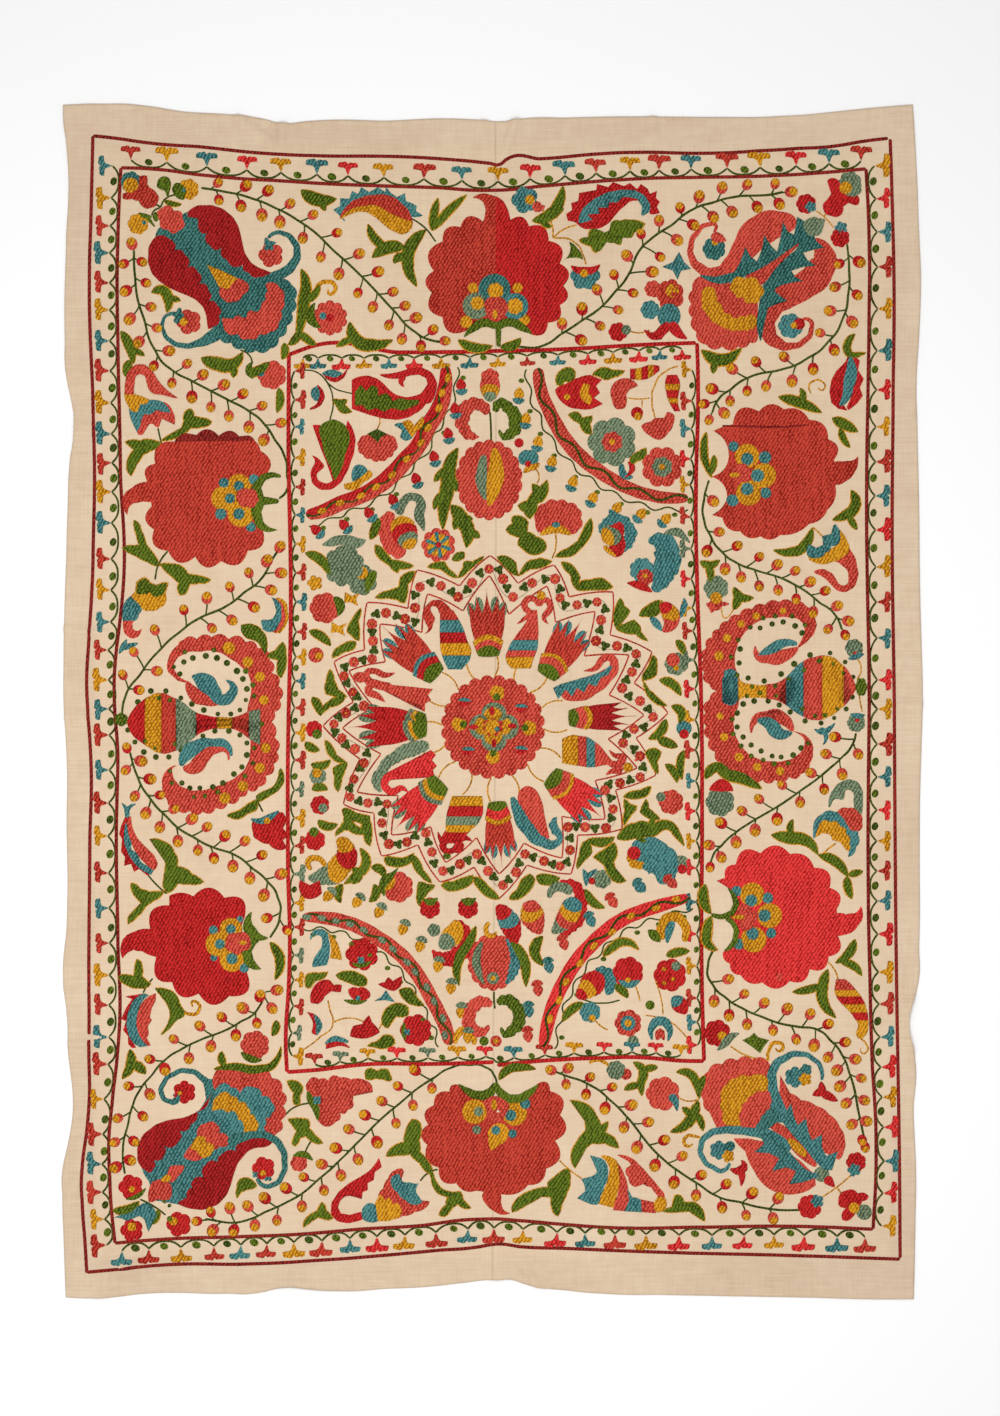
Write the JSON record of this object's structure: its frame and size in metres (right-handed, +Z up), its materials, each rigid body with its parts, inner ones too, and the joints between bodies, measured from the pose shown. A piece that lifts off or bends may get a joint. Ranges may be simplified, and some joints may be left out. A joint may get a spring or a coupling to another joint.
{
  "type": "suzani embroidered textile",
  "caption": "Large flat cotton cover of joined panels, covered in floral silk embroidery, lying face up with uneven hemmed edges and soft storage folds.",
  "frame": {"origin": "on the surface that the cloth lies on, under the middle of its bounding box", "axes": "+X across the cloth to the viewer's right, +Y along its length towards the top edge, +Z up out of the embroidered face"},
  "size_m": [1.4168, 1.9687, 0.0084],
  "materials": {
    "cotton": "undyed hand-woven cotton, matte, warm off-white",
    "thread_red": "crimson and rose silk thread, laid and couched, low sheen",
    "thread_blue": "faded blue silk thread, laid and couched, low sheen",
    "thread_gold": "ochre silk thread, laid and couched, low sheen",
    "thread_green": "leaf-green silk thread, laid and couched, low sheen"
  },
  "bodies": {
    "root": {"panel_left": "cotton", "panel_right": "cotton"}
  },
  "joints": []
}
